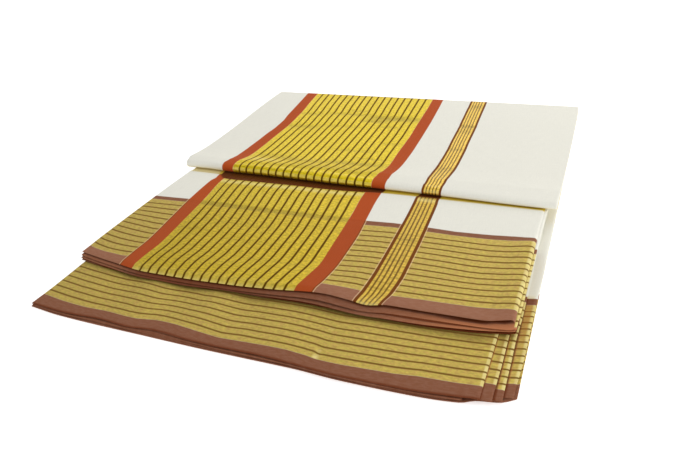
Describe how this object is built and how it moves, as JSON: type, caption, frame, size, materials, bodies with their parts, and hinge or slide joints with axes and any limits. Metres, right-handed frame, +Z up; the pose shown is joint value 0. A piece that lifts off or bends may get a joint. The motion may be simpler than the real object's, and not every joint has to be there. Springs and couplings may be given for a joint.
{
  "type": "folded kasavu saree",
  "caption": "Cream cotton saree folded flat, with a rolled fold, gold striped end bands and a gold and brown border along its front edges.",
  "frame": {"origin": "middle of the footprint, on the surface that the saree lies on", "axes": "+X along the cloth's length towards the stepped fold ends, +Y towards the back fold, +Z up"},
  "size_m": [0.495, 0.617, 0.029],
  "materials": {
    "cream_cotton": "plain cream cotton weave",
    "gold_banded_cotton": "cream cotton with gold thread bands, matte with a soft sheen",
    "border_cotton": "gold thread border with thin brown lines",
    "layer_edges": "brown selvedge edges"
  },
  "bodies": {
    "root": {"underside_panel": "cream_cotton", "hidden_layers": "layer_edges", "lower_panel": "border_cotton", "fold_step_upper": "border_cotton", "fold_step_middle": "border_cotton", "fold_step_lowest": "border_cotton", "middle_under_leaf": "layer_edges", "middle_panel": "gold_banded_cotton", "roll_layers": "cream_cotton", "top_panel": "gold_banded_cotton"}
  },
  "joints": []
}
